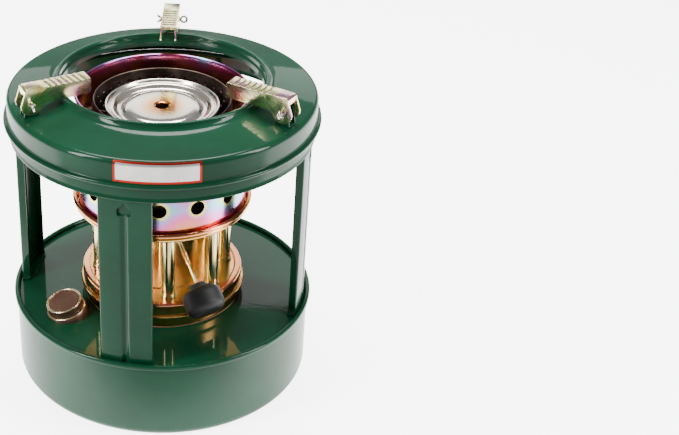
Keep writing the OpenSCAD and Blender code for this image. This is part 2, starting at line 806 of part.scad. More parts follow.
// Height of the cross pins, midway between two rows of perforations
function pin_level() = head_z + 12 + (dish_h - 24) / (perf_rows - 1) * (perf_rows - 1.5);

module inner_flame_tube() {
    color(dark_steel) difference() {
        tube(inner_tube_r, shell_wall, head_z, gallery_z + dish_h - 5, fine);
        perforations(inner_tube_r, head_z + 12, head_z + dish_h - 12);
        pin_holes(inner_tube_r);
    }
}

module outer_flame_tube() {
    top = gallery_z + outer_tube_h;
    line = [[outer_tube_r, head_z], [outer_tube_top_r, top - 1], [outer_tube_top_r - 0.4, top]];
    color(dark_steel) difference() {
        spun(line, shell_wall);
        perforations(outer_tube_r - 1, head_z + 12, head_z + dish_h - 12);
        pin_holes(outer_tube_r - 1);
    }
}

module outer_shell() {
    top = gallery_z + shell_h;
    line = concat(
        [[shell_r, head_z], [shell_r, top - 3]],
        arc([shell_r + 0.2, top - 1.2], 1.2, -60, 120, 6)
    );
    color(rainbow_zinc) difference() {
        spun(line, shell_wall);
        for (k = [0:air_hole_count - 1]) rotate([0, 0, 268 + k * 360 / air_hole_count])
            translate([shell_r - 5, 0, gallery_z + air_hole_h]) rotate([0, 90, 0])
                cylinder(r = air_hole_r, h = 10, $fn = small);
        pin_holes(shell_r);
    }
}

module spreader_dish() {
    z = gallery_z + dish_h;
    skirt = inner_tube_r + snug + burner_sheet;
    roll = 1.3;
    line = concat(
        [[skirt, z - 9], [skirt, z - 2.4]],
        arc([dish_r - roll, z - roll], roll, -30, 160, 8),
        [[dish_r - 5, z - 2.6], [dish_r - 7, z - 2.9], [dish_r - 9, z - 4.4], [dish_r - 11.5, z - 5.2]],
        [[dish_r - 14, z - 5], [dish_r - 18, z - 3], [dish_r - 22, z - 2.1]],
        [[dish_hole_r + 3, z - 1.6], [dish_hole_r + 1, z - 0.8], [dish_hole_r, z - 0.8]]
    );
    color(bright_steel) spun(line, burner_sheet);
}

module cross_pins() {
    color(dark_steel) for (k = [0:2]) rotate([0, 0, 40 + k * 120])
        translate([inner_tube_r - 2, 0, pin_level()]) rotate([0, 90, 0])
            cylinder(r = 1, h = shell_r - inner_tube_r + 2.4, $fn = small);
}

tank_shell();
tank_deck();
filler_neck();
filler_gasket();
filler_cap();
leg(leg_az);  // leg_front
leg(leg_az + 90);  // leg_right
leg(leg_az + 180);  // leg_back
leg(leg_az + 270);  // leg_left
under_ring();
top_ring();
blank_plate();
pot_support(0);  // pot_support_back
pot_support(1);  // pot_support_left
pot_support(2);  // pot_support_right
support_bracket(0);  // support_bracket_back
support_bracket(1);  // support_bracket_left
support_bracket(2);  // support_bracket_right
pivot_pin(0);  // pivot_pin_back
pivot_pin(1);  // pivot_pin_left
pivot_pin(2);  // pivot_pin_right
burner_gasket();
burner_socket();
burner_platform();
gallery();
for (i = [1:wick_count]) wick_tube(i);
for (i = [1:wick_count]) wick(i);
wick_carrier();
lift_rod();
guide_tube();
rack_housing();
pinion();
inner_shaft();
shaft_sleeve();
outer_shaft();
shaft_bracket();
knob();
inner_flame_tube();
outer_flame_tube();
outer_shell();
spreader_dish();
cross_pins();
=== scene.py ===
import math
import bmesh
import bpy
import numpy as np
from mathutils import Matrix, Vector


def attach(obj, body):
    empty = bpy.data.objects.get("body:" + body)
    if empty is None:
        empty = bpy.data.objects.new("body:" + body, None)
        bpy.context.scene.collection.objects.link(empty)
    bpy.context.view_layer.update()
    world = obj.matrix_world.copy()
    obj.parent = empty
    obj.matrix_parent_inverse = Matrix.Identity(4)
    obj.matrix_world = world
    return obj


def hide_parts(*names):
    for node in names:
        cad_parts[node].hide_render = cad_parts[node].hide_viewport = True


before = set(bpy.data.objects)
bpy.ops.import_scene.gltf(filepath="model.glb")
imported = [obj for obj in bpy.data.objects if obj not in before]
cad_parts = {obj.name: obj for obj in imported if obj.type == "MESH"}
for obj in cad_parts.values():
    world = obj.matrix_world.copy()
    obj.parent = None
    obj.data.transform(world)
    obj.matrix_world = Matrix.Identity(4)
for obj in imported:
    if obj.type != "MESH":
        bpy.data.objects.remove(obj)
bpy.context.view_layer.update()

# Fuel tank. A deep-drawn steel cup with a rounded foot, stove-enamelled dark green.
# Its bottom is pressed up so that it stands on a flat ring.


def linear(colour):
    """An sRGB hex colour as linear RGBA: c / 12.92 up to 0.04045, ((c + 0.055) / 1.055) ^ 2.4 above."""
    c = np.array([int(colour[i:i + 2], 16) for i in (1, 3, 5)]) / 255
    return (*np.where(c <= 0.04045, c / 12.92, ((c + 0.055) / 1.055) ** 2.4).tolist(), 1.0)


def add(tree, kind, inputs=None, stops=None, **settings):
    """Adds one shader node with its settings, the values or links of its sockets, and a ramp's stops."""
    made = tree.nodes.new(kind)
    for key, value in settings.items():
        setattr(made, key, value)
    for key, value in (inputs or {}).items():
        if isinstance(value, bpy.types.NodeSocket):
            tree.links.new(value, made.inputs[key])
        else:
            made.inputs[key].default_value = value
    if stops:
        ramp = made.color_ramp.elements
        ramp[0].position, ramp[0].color = stops[0][0], linear(stops[0][1])
        ramp[1].position, ramp[1].color = stops[-1][0], linear(stops[-1][1])
        for place, colour in stops[1:-1]:
            ramp.new(place).color = linear(colour)
    return made


def new_finish(name, sockets):
    """A material, its node tree, its one shader with these sockets set, and Object coordinates in metres."""
    made = bpy.data.materials.new(name)
    made.use_nodes = True
    tree = made.node_tree
    shader = tree.nodes["Principled BSDF"]
    for key, value in sockets.items():
        shader.inputs[key].default_value = value
    return made, tree, shader, add(tree, "ShaderNodeTexCoord").outputs["Object"]


def grid(rows, cols, close_rows=False, close_cols=False):
    """Quads of a grid of points, joined end to end where it closes; they face cols x rows."""
    i = np.arange(rows if close_rows else rows - 1)[:, None]
    j = np.arange(cols if close_cols else cols - 1)[None, :]
    up, on = (i + 1) % rows, (j + 1) % cols
    corners = np.broadcast_arrays(i * cols + j, i * cols + on, up * cols + on, up * cols + j)
    return np.stack(corners, -1).reshape(-1, 4)


def arc(centre, radius, start, end, steps=10):
    """Points centre + radius (cos a, sin a), with a from start to end in degrees."""
    a = np.radians(np.linspace(start, end, steps + 1))
    return np.array(centre) + radius * np.stack([np.cos(a), np.sin(a)], 1)


def eased(points, backs, steps=6):
    """A line with each inner corner b eased to (1-t)^2 a + 2t(1-t) b + t^2 c, a and c lying back from it."""
    p = np.array(points, float)
    b, d = p[1:-1], np.array(backs, float)[:, None]
    a = b + (p[:-2] - b) / np.linalg.norm(p[:-2] - b, axis=1, keepdims=True) * d
    c = b + (p[2:] - b) / np.linalg.norm(p[2:] - b, axis=1, keepdims=True) * d
    t = np.linspace(0, 1, steps + 1)[None, :, None]
    curve = (1 - t) ** 2 * a[:, None] + 2 * t * (1 - t) * b[:, None] + t ** 2 * c[:, None]
    return np.vstack([p[:1], curve.reshape(-1, 2), p[-1:]])


def held(line, hold=0.35):
    """The line with two more points near the ends of each long side, so that the side shades flat."""
    a, b = line[:-1], line[1:]
    length = np.linalg.norm(b - a, axis=1, keepdims=True)
    near = (b - a) * np.minimum(hold / np.maximum(length, 1e-9), 0.3)
    points = np.stack([a, a + near, b - near], 1)
    long = length[:, 0] > 1.2
    kept = np.stack([length[:, 0] > 1e-6, long, long], 1)
    return np.vstack([points[kept], line[-1:]])


def walled(line, wall):
    """Outline of a bent sheet: the line, then the line moved one wall to its left, mitred, and back."""
    side = np.diff(line, axis=0)
    left = np.stack([-side[:, 1], side[:, 0]], 1) / np.linalg.norm(side, axis=1, keepdims=True)
    corner = np.vstack([left[:1], left]) + np.vstack([left, left[-1:]])
    inner = line + 2 * wall * corner / (corner * corner).sum(1, keepdims=True)
    return np.vstack([line, inner[::-1]])


def turned(outline, turns=224):
    """A closed outline of (r, z) turned about Z: (r cos a, r sin a, z) for a round the full circle."""
    a = np.arange(turns) * 2 * np.pi / turns
    r, z = outline[:, :1], outline[:, 1:]
    points = np.stack([r * np.cos(a), r * np.sin(a), z + 0 * a], -1).reshape(-1, 3)
    return points, grid(len(outline), turns, True, True)


def made_piece(name, surface, coat, body, nodes, wall=0.0, solid=True, sharp=38, marks=None):
    """Puts a surface in millimetres into the scene and on its body, in place of its CAD nodes.
    Doubles at seams and poles are merged, an open sheet gets its wall, and marks are values at its points."""
    mesh = bpy.data.meshes.new(name)
    mesh.from_pydata((surface[0] * 0.001).tolist(), [], surface[1].tolist())
    work = bmesh.new()
    work.from_mesh(mesh)
    bmesh.ops.remove_doubles(work, verts=work.verts, dist=2e-6)
    if solid:
        bmesh.ops.recalc_face_normals(work, faces=work.faces)
    work.to_mesh(mesh)
    work.free()
    made = bpy.data.objects.new(name, mesh)
    bpy.context.scene.collection.objects.link(made)
    if wall:
        skin = made.modifiers.new("wall", "SOLIDIFY")
        skin.thickness, skin.offset, skin.use_even_offset = wall * 0.001, -1, True
        bpy.context.view_layer.update()
        made.data = bpy.data.meshes.new_from_object(made.evaluated_get(bpy.context.evaluated_depsgraph_get()))
        made.modifiers.clear()
        mesh = made.data
    mesh.shade_smooth()
    mesh.set_sharp_from_angle(angle=math.radians(sharp))
    at = np.empty(len(mesh.vertices) * 3, np.float32)
    mesh.vertices.foreach_get("co", at)
    for key, rule in (marks or {}).items():
        values = rule(at.reshape(-1, 3).astype(float) * 1000).astype(np.float32)
        mesh.attributes.new(key, "FLOAT", "POINT").data.foreach_set("value", values)
    mesh.materials.clear()
    mesh.materials.append(coat)
    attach(made, body)
    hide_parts(*nodes)
    return made


# Stove enamel: a glossy paint baked on, smooth but with a soft orange peel about 3 mm across,
# a little thinner and paler in places. Its clear top layer gives faint sharp reflections.
enamel, tree, shader, place = new_finish(
    "baked green enamel", {"Roughness": 0.42, "Specular IOR Level": 0.04, "Coat Weight": 0.3,
                           "Coat Roughness": 0.04, "Coat IOR": 1.5})
cloud = add(tree, "ShaderNodeTexNoise", {"Vector": place, "Scale": 22.0, "Detail": 3.0})
green = add(tree, "ShaderNodeValToRGB", {"Fac": cloud.outputs["Fac"]},
            stops=[(0.3, "#07301d"), (0.55, "#083622"), (0.75, "#0a3b26")])
tree.links.new(green.outputs["Color"], shader.inputs["Base Color"])
peel = add(tree, "ShaderNodeTexNoise", {"Vector": place, "Scale": 330.0, "Detail": 2.0})
bump = add(tree, "ShaderNodeBump", {"Height": peel.outputs["Fac"], "Strength": 0.25, "Distance": 0.00006})
for key in ("Normal", "Coat Normal"):
    tree.links.new(bump.outputs["Normal"], shader.inputs[key])

tank_line = np.vstack([[(0, 2), (94.9, 2)],
                       eased([(94.9, 2), (96.2, 2), (98.0, 0), (99.9, 0)], (0.8, 0.8))[1:],
                       arc((108.1, 6.7), 6.7, -90, 0, 14), [(114.8, 62.6)]])
made_piece("tank", turned(walled(held(tank_line), 0.8), 256), enamel, "stove", ["tank_shell"])

# Tank deck. A flat pressing whose edge stands up and is rolled with the tank's edge into a seam,
# which keeps the kerosene in; enamelled together with the tank.
deck = np.vstack([
    [(57.2, 61.7), (57.2, 62.5)], arc((112.3, 63.2), 0.7, -90, 0, 8), arc((114.8, 64.6), 1.8, 180, 90, 9),
    arc((115.2, 64.6), 1.8, 90, 0, 9), [(117.0, 63.4)], arc((116.2, 63.4), 0.8, 0, -90, 4),
    [(114.6, 62.58)], arc((112.3, 63.2), 1.5, -25, -90, 5)])
made_piece("deck", turned(held(np.vstack([deck, deck[:1]]))[:-1], 256), enamel, "stove",
           ["tank_deck"])

# Filler. A turned collar in the deck that leans outwards, under a pressed screw cap with a rolled rim.
# Both are bronze-lacquered steel that is worn bright along its edges.


def seated(points, azimuth, reach, height, tilt, aside=0.0):
    """Points of a part made upright at the origin, leant by tilt, moved out, and turned to azimuth."""
    t, a = math.radians(tilt), math.radians(azimuth)
    x = points[:, 0] * math.cos(t) + points[:, 2] * math.sin(t) + reach
    y = points[:, 1] + aside
    z = points[:, 2] * math.cos(t) - points[:, 0] * math.sin(t) + height
    return np.stack([x * math.cos(a) - y * math.sin(a), x * math.sin(a) + y * math.cos(a), z], 1)


def unseated(points, azimuth, reach, height, tilt, aside=0.0):
    """The way back from seated: where a point of the finished part lies in the part made upright."""
    t, a = math.radians(tilt), math.radians(azimuth)
    x = points[:, 0] * math.cos(a) + points[:, 1] * math.sin(a) - reach
    y = points[:, 1] * math.cos(a) - points[:, 0] * math.sin(a) - aside
    z = points[:, 2] - height
    return np.stack([x * math.cos(t) - z * math.sin(t), y, x * math.sin(t) + z * math.cos(t)], 1)


filler_seat = (209, 83.5, 62.5, 15)

# Bronze lacquer: a brown metallic paint, fine-grained and half matt, rubbed through to bright steel
# along the raised edges; the mark called edge says where.
lacquer, tree, shader, place = new_finish("worn bronze lacquer", {"Metallic": 0.85, "Roughness": 0.36})
worn = add(tree, "ShaderNodeAttribute", attribute_name="edge")
fleck = add(tree, "ShaderNodeTexNoise", {"Vector": place, "Scale": 420.0, "Detail": 5.0})
rubbed = add(tree, "ShaderNodeMath", {0: fleck.outputs["Fac"], 1: 0.3, 2: worn.outputs["Fac"]},
             operation="MULTIPLY_ADD")
tone = add(tree, "ShaderNodeValToRGB", {"Fac": rubbed.outputs[0]},
           stops=[(0.05, "#6e4f41"), (0.3, "#8f6c5b"), (0.62, "#a58f72"), (1.0, "#cfc39a")])
tree.links.new(tone.outputs["Color"], shader.inputs["Base Color"])
gloss = add(tree, "ShaderNodeMapRange", {"Value": rubbed.outputs[0], "To Min": 0.42, "To Max": 0.2})
tree.links.new(gloss.outputs["Result"], shader.inputs["Roughness"])

collar = eased([(15.9, -5), (16.1, 2.4), (14.9, 5.4), (12.4, 5.4), (11.8, 6), (11.8, 9.6), (10.6, 9.6),
                (10.6, -5)], (1.4, 0.9, 0.4, 0.3, 0.3, 0.3))
points, faces = turned(held(np.vstack([collar, collar[:1]]))[:-1], 128)
made_piece("filler_collar", (seated(points, *filler_seat), faces), lacquer, "stove",
           ["filler_neck"],
           marks={"edge": lambda at:
                  np.exp(-((np.hypot(*unseated(at, *filler_seat)[:, :2].T) - 14.6) / 0.5) ** 2)
                  * np.exp(-((unseated(at, *filler_seat)[:, 2] - 5.1) / 0.5) ** 2)})

# The cap's top is sunk 1 mm inside its rolled rim, and its skirt has a narrow bead round its foot.
cap = np.vstack([[(0, 10.9), (12.2, 10.9), (12.2, 6.0), (13.4, 6.0)], arc((13.5, 6.5), 0.5, -90, 20, 5),
                 [(13.75, 7.3), (13.75, 10.6)], arc((13.1, 11.3), 0.9, -10, 172, 14),
                 [(11.6, 11.25), (10.9, 11.2), (9.4, 11.35), (0, 11.45)]])
points, faces = turned(held(cap), 128)
made_piece("filler_lid_cap", (seated(points, *filler_seat), faces), lacquer, "filler_lid",
           ["filler_cap"],
           marks={"edge": lambda at: np.clip((unseated(at, *filler_seat)[:, 2] - 11.35) / 0.8, 0, 1)
                  + 0.6 * np.exp(-((unseated(at, *filler_seat)[:, 2] - 6.3) / 0.3) ** 2)})

# The sealing ring under the cap: moulded nitrile rubber, matt black.
rubber, tree, shader, place = new_finish("moulded black rubber", {"Roughness": 0.75})
grain = add(tree, "ShaderNodeTexNoise", {"Vector": place, "Scale": 900.0, "Detail": 3.0})
tone = add(tree, "ShaderNodeValToRGB", {"Fac": grain.outputs["Fac"]},
           stops=[(0.3, "#141414"), (0.7, "#262524")])
tree.links.new(tone.outputs["Color"], shader.inputs["Base Color"])
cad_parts["filler_gasket"].data.materials.clear()
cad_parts["filler_gasket"].data.materials.append(rubber)

# Legs. Four steel channels curved to the tank, with a stiffening groove pressed down the face and a
# pressed arrow head where the groove ends under the ring; spot-welded to the deck by a turned-in foot.


def leg_surface(azimuth, radius=112.1, foot_z=62.55, top_z=211.7):
    """The channel: distance s across its face and flanges by height z, at radius less depth(s, z).
    Depth is the flange, a groove 1.6 (1 + cos(2 pi s / 7.2)) / 2, and a house-shaped dimple at its end."""
    edge = eased([(-19.75, 6), (-19.75, 0), (-15, 0)], (1.5,), 7)
    face = np.stack([np.linspace(-16.5, 16.5, 111), np.zeros(111)], 1)
    left = np.vstack([[(-19.75, 6), (-19.75, 3)], edge[1:-1]])
    section = np.vstack([left, face, left[::-1] * (-1, 1)])
    z = np.concatenate([[foot_z, 63.2, 64.2, 65.6, 67.2, 69], np.linspace(74, 184, 10),
                        np.linspace(186, 201.5, 46), [204, top_z]])[:, None]
    s, flange = section[:, 0], section[:, 1]
    groove = 0.8 * (1 + np.cos(2 * np.pi * np.clip(s, -3.6, 3.6) / 7.2)) * (z < 189.5)
    half = np.interp(z, [188.6, 189.2, 194.2, 199.6], [0, 5.2, 5.2, 0.0])
    rim = np.clip((half - np.abs(s)) / 1.1, 0, 1) * np.clip((z - 188.4) / 1.0, 0, 1)
    depth = flange + np.maximum(groove, 1.9 * rim * rim * (3 - 2 * rim))
    splay = 1 + 0.12 * np.clip((69 - z) / 6.5, 0, 1) ** 2
    a = math.radians(azimuth) + s * splay / radius
    r = radius - depth
    points = np.stack([r * np.cos(a), r * np.sin(a), z + 0 * a], -1).reshape(-1, 3)
    return points, grid(len(z), len(s))


def foot_surface(azimuth, outer=111.6, inner=103.2, half=11.8, z=63.7):
    """The turned-in foot: angle by radius, flat on the deck, its inner corners drawn in to a round end."""
    a = np.radians(np.linspace(-half, half, 41))
    t = np.linspace(0, 1, 9)[:, None]
    inner_edge = inner + 3.5 * np.abs(np.linspace(-1, 1, 41)) ** 6
    r = outer + (inner_edge - outer) * t
    a = a + math.radians(azimuth)
    points = np.stack([r * np.cos(a), r * np.sin(a), z + 0 * r], -1).reshape(-1, 3)
    return points, grid(9, 41)


def together(*surfaces):
    """Several surfaces as one, with the faces of each counted on from the points before it."""
    starts = np.cumsum([0] + [len(s[0]) for s in surfaces[:-1]])
    return np.vstack([s[0] for s in surfaces]), np.vstack([s[1] + k for s, k in zip(surfaces, starts)])


for name, azimuth in (("front", 256.3), ("right", 346.3), ("back", 76.3), ("left", 166.3)):
    made_piece("channel_leg_" + name, together(leg_surface(azimuth), foot_surface(azimuth)), enamel, "stove",
               ["leg_" + name], wall=1.15, solid=False, sharp=50)

# Lower band of the ring. A steel hoop with a rolled lower edge and a turned-out flange on which the top
# ring's hem sits.
band = np.vstack([arc((112.8, 202.8), 1.1, 235, 350, 12), [(113.1, 205.0)],
                  eased([(113.1, 205.0), (113.1, 212.9), (116.0, 212.9)], (0.9,))[1:]])
made_piece("lower_band", turned(walled(held(band), 0.9), 256), enamel, "stove",
           ["under_ring"])

# Top ring. One deep pressing: hem, skirt, round shoulder, top that rises to a rolled lip, and the throat.
hem = arc((116.3, 215.35), 1.5, -150, 90, 20)
cove = eased([(111.66, 233.93), (85.4, 239.0), (80.9, 240.6), (79.1, 243.3)], (2.6, 1.9), 9)
lip = arc((77.4, 243.3), 1.7, 0, 180, 16)
throat = eased([(75.7, 243.3), (75.7, 240.0), (74.75, 239.2), (74.7, 235)], (0.6, 0.6), 4)
ring_line = np.vstack([hem, eased([(116.3, 216.85), (114.9, 217.3), (114.9, 219.3)], (0.7,), 5)[1:],
                       arc((110.9, 230), 4, 0, 79, 14), cove[1:], lip[1:], throat[1:]])
made_piece("ring", turned(walled(held(ring_line), 0.9), 288), enamel, "stove", ["top_ring"])

# Plate on the skirt. Thin tinplate, printed with a plain red frame and otherwise left bare.


def plate_surface(azimuth, length, face_r=115.35, centre=(110.9, 230.0)):
    """Angle along the skirt by the skirt's own line: straight up, then round the shoulder at face_r."""
    up = np.vstack([np.stack([np.full(7, face_r), np.linspace(217.75, 229.5, 7)], 1),
                    arc(centre, face_r - centre[0], 0, 50, 9)])
    a = math.radians(azimuth) + np.linspace(-0.5, 0.5, 61) * length / face_r
    r, z = up[:, :1], up[:, 1:]
    points = np.stack([r * np.cos(a), r * np.sin(a), z + 0 * a], -1).reshape(-1, 3)
    return points, grid(len(up), 61)


def plate_edge(at, azimuth=268.3, length=61.0):
    """Distance in millimetres from the plate's nearest edge, measured along and up the face."""
    a = np.angle(np.exp(1j * (np.arctan2(at[:, 1], at[:, 0]) - math.radians(azimuth))))
    along = length / 2 - np.abs(a) * 115.35
    climb = at[:, 2] - 217.75 + np.clip(115.35 - np.hypot(at[:, 0], at[:, 1]), 0, 9) * 0.55
    return np.minimum(along, np.minimum(climb, 16.4 - climb))


tinplate, tree, shader, place = new_finish("printed tinplate", {"Metallic": 0.9, "Roughness": 0.3})
inset = add(tree, "ShaderNodeAttribute", attribute_name="inset")
roll = add(tree, "ShaderNodeTexNoise", {"Vector": place, "Scale": 60.0, "Detail": 4.0})
silver = add(tree, "ShaderNodeValToRGB", {"Fac": roll.outputs["Fac"]},
             stops=[(0.3, "#c9c6c2"), (0.7, "#e4e2df")])
band = add(tree, "ShaderNodeValToRGB", {"Fac": add(tree, "ShaderNodeMapRange", {
    "Value": inset.outputs["Fac"], "From Min": 0.0, "From Max": 4.0}).outputs["Result"]},
    stops=[(0.0, "#ffffff"), (0.4, "#ffffff"), (0.46, "#000000")])
printed = add(tree, "ShaderNodeMix", {"Factor": band.outputs["Color"]}, data_type="RGBA")
tree.links.new(silver.outputs["Color"], printed.inputs["A"])
printed.inputs["B"].default_value = linear("#a8281f")
tree.links.new(printed.outputs["Result"], shader.inputs["Base Color"])
made_piece("plate", plate_surface(268.3, 61.0), tinplate, "stove", ["blank_plate"], wall=0.4,
           solid=False, marks={"inset": plate_edge})

# Pot supports. Notched steel channels, zinc-plated and passivated yellow, that fold on split pins
# through brackets welded to the ring.


def trimmed_copy(node, name, coat, body, bevel):
    """A copy of the CAD node, merged, its flat faces made whole and its edges eased by a small bevel."""
    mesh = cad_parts[node].data.copy()
    work = bmesh.new()
    work.from_mesh(mesh)
    bmesh.ops.remove_doubles(work, verts=work.verts, dist=2e-6)
    bmesh.ops.dissolve_limit(work, angle_limit=math.radians(0.4), verts=work.verts, edges=work.edges)
    work.to_mesh(mesh)
    work.free()
    mesh.shade_smooth()
    made = bpy.data.objects.new(name, mesh)
    bpy.context.scene.collection.objects.link(made)
    if bevel:
        ease = made.modifiers.new("eased edges", "BEVEL")
        ease.width, ease.segments, ease.limit_method = bevel * 0.001, 3, "ANGLE"
        ease.angle_limit, ease.harden_normals = math.radians(32), True
    else:
        mesh.set_sharp_from_angle(angle=math.radians(32))
    mesh.materials.clear()
    mesh.materials.append(coat)
    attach(made, body)
    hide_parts(node)
    return made


# Yellow zinc: electroplated zinc with a chromate film, cream to gold with pink, violet and green where the
# film is thicker, over fine drawing lines about 0.5 mm apart.
yellow_zinc, tree, shader, place = new_finish("yellow passivated zinc", {"Metallic": 1.0, "Roughness": 0.34})
film = add(tree, "ShaderNodeTexNoise", {"Vector": place, "Scale": 75.0, "Detail": 3.0, "Distortion": 1.2})
tone = add(tree, "ShaderNodeValToRGB", {"Fac": film.outputs["Fac"]},
           stops=[(0.25, "#a58bb0"), (0.36, "#d8a9b2"), (0.45, "#f0d9a6"), (0.54, "#f4edbb"),
                  (0.62, "#dde09a"), (0.7, "#e2bd6a"), (0.78, "#9dbb96")])
tree.links.new(tone.outputs["Color"], shader.inputs["Base Color"])
lines = add(tree, "ShaderNodeTexNoise", {"Vector": place, "Scale": 700.0, "Detail": 4.0})
rough = add(tree, "ShaderNodeMapRange", {"Value": lines.outputs["Fac"], "To Min": 0.14, "To Max": 0.3})
tree.links.new(rough.outputs["Result"], shader.inputs["Roughness"])
bump = add(tree, "ShaderNodeBump", {"Height": lines.outputs["Fac"], "Strength": 0.3, "Distance": 0.00008})
tree.links.new(bump.outputs["Normal"], shader.inputs["Normal"])

# Pin steel: bright drawn wire, a little dulled.
pin_steel, tree, shader, place = new_finish("bright drawn wire", {"Metallic": 1.0, "Roughness": 0.25})
haze = add(tree, "ShaderNodeTexNoise", {"Vector": place, "Scale": 500.0, "Detail": 4.0})
tone = add(tree, "ShaderNodeValToRGB", {"Fac": haze.outputs["Fac"]},
           stops=[(0.3, "#a8a49c"), (0.7, "#d8d4cc")])
tree.links.new(tone.outputs["Color"], shader.inputs["Base Color"])

for side in ("back", "left", "right"):
    trimmed_copy("pot_support_" + side, "notched_support_" + side, yellow_zinc, "support_" + side,
                 0.35)
    trimmed_copy("support_bracket_" + side, "hinge_bracket_" + side, enamel, "stove", 0.25)
    trimmed_copy("pivot_pin_" + side, "split_pin_" + side, pin_steel, "stove", 0)

# Burner socket. A drawn steel cup with a rolled lip, seated on a cork ring over the hole in the deck.
# Like the platform and the gallery it is zinc-plated, then passivated to a copper and gold sheen.


def copper_film(name, stops, across, roughness):
    """Passivated zinc whose film colour follows height and radius (across = weights of both) and a cloud."""
    made, tree, shader, place = new_finish(name, {"Metallic": 1.0, "Roughness": roughness})
    flat = add(tree, "ShaderNodeVectorMath", {0: place, 1: (1.0, 1.0, 0.0)}, operation="MULTIPLY")
    radius = add(tree, "ShaderNodeVectorMath", {0: flat.outputs["Vector"]}, operation="LENGTH")
    height = add(tree, "ShaderNodeSeparateXYZ", {"Vector": place})
    up = add(tree, "ShaderNodeMath", {0: height.outputs["Z"], 1: across[0]}, operation="MULTIPLY")
    both = add(tree, "ShaderNodeMath", {0: radius.outputs["Value"], 1: across[1], 2: up.outputs[0]},
               operation="MULTIPLY_ADD")
    cloud = add(tree, "ShaderNodeTexNoise", {"Vector": place, "Scale": 38.0,
                "Detail": 4.0, "Distortion": 0.8})
    film = add(tree, "ShaderNodeMath", {0: cloud.outputs["Fac"], 1: 1.1, 2: both.outputs[0]},
               operation="MULTIPLY_ADD")
    turn = add(tree, "ShaderNodeMath", {0: film.outputs[0]}, operation="FRACT")
    tone = add(tree, "ShaderNodeValToRGB", {"Fac": turn.outputs[0]}, stops=stops)
    tree.links.new(tone.outputs["Color"], shader.inputs["Base Color"])
    fine = add(tree, "ShaderNodeTexNoise", {"Vector": place, "Scale": 800.0, "Detail": 3.0})
    bump = add(tree, "ShaderNodeBump", {"Height": fine.outputs["Fac"], "Strength": 0.2, "Distance": 0.00005})
    tree.links.new(bump.outputs["Normal"], shader.inputs["Normal"])
    return made


copper_zinc = copper_film(
    "copper passivated zinc",
    [(0.0, "#e08a44"), (0.2, "#f2ac5c"), (0.4, "#f5c67c"), (0.6, "#ec9866"),
     (0.8, "#e8907c"), (1.0, "#e08a44")],
    (28.0, 12.0), 0.2)

socket = np.vstack([[(57.8, 63.5)], arc((60.7, 65.0), 1.5, -90, 0, 7), [(62.2, 70.6)],
                    arc((62.5, 72.5), 1.5, -70, 100, 14)])
made_piece("socket", turned(walled(held(socket), 0.8)), copper_zinc, "stove",
           ["burner_socket"])

# The cork ring under the socket: pressed granules of a few tenths of a millimetre to 2 mm.
cork, tree, shader, place = new_finish("pressed cork", {"Roughness": 0.85})
granule = add(tree, "ShaderNodeTexVoronoi", {"Vector": place, "Scale": 900.0})
tone = add(tree, "ShaderNodeValToRGB", {"Fac": granule.outputs["Distance"]},
           stops=[(0.0, "#a57f55"), (0.6, "#6d4f33")])
tree.links.new(tone.outputs["Color"], shader.inputs["Base Color"])
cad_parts["burner_gasket"].data.materials.clear()
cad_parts["burner_gasket"].data.materials.append(cork)

# Platform. A polished cover over the socket that carries the eight wick tubes.
platform = np.vstack([[(61.1, 64.6), (61.1, 74.2), (62.4, 74.2)], arc((60.4, 82.0), 2.0, 0, 90, 10),
                      eased([(60.4, 84.0), (57.4, 84.0), (56.8, 83.4), (40.2, 83.4), (39.4, 84.0),
                             (4.3, 84.0)], (0.4, 0.4, 0.4, 0.4), 3)[1:]])
made_piece("platform", turned(walled(held(platform), 0.8)), copper_zinc, "stove",
           ["burner_platform"])

# Wick tubes. Eight seamed steel tubes, pressed into a ferrule on the platform and flared in the gallery,
# with a braided cotton wick in each.
pale_zinc = copper_film(
    "pale gold passivated zinc",
    [(0.0, "#cfc58e"), (0.25, "#e3d7a0"), (0.5, "#bfc79c"),
     (0.75, "#d9c486"), (1.0, "#cfc58e")], (9.0, 4.0), 0.17)
tube = np.vstack([[(4.9, 78), (5.5, 78), (5.5, 83.9), (6.3, 83.9)], arc((5.9, 85.0), 0.4, 0, 90, 4),
                  [(5.5, 85.8), (5.5, 139.6)],
                  eased([(5.5, 139.6), (5.5, 140.6), (5.7, 142.4)], (0.4,), 3)[1:],
                  [(4.9, 142.4)]])
for k in range(8):
    points, faces = turned(held(np.vstack([tube, tube[:1]]))[:-1], 64)
    made_piece("tube_%d" % (k + 1), (seated(points, 5.5 + 45 * k, 48.5, 0, 0), faces), pale_zinc, "stove",
               ["wick_tube_%d" % (k + 1)])

# Braided cotton: off-white, matt, with a braid of about 1.5 mm, charred brown over its top 3 mm.
cotton, tree, shader, place = new_finish("braided cotton", {"Roughness": 0.95, "Sheen Weight": 0.3})
braid = add(tree, "ShaderNodeTexWave", {"Vector": place, "Scale": 200.0, "Distortion": 1.5},
            bands_direction="DIAGONAL")
level = add(tree, "ShaderNodeSeparateXYZ", {"Vector": place})
burnt = add(tree, "ShaderNodeMapRange", {"Value": level.outputs["Z"], "From Min": 0.139, "From Max": 0.1425})
white = add(tree, "ShaderNodeValToRGB", {"Fac": braid.outputs["Fac"]},
            stops=[(0.0, "#b9ae95"), (1.0, "#ece5d2")])
charred = add(tree, "ShaderNodeMix", {"Factor": burnt.outputs["Result"]}, data_type="RGBA")
tree.links.new(white.outputs["Color"], charred.inputs["A"])
charred.inputs["B"].default_value = linear("#2a211b")
tree.links.new(charred.outputs["Result"], shader.inputs["Base Color"])
for k in range(8):
    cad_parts["wick_%d" % (k + 1)].data.materials.clear()
    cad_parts["wick_%d" % (k + 1)].data.materials.append(cotton)

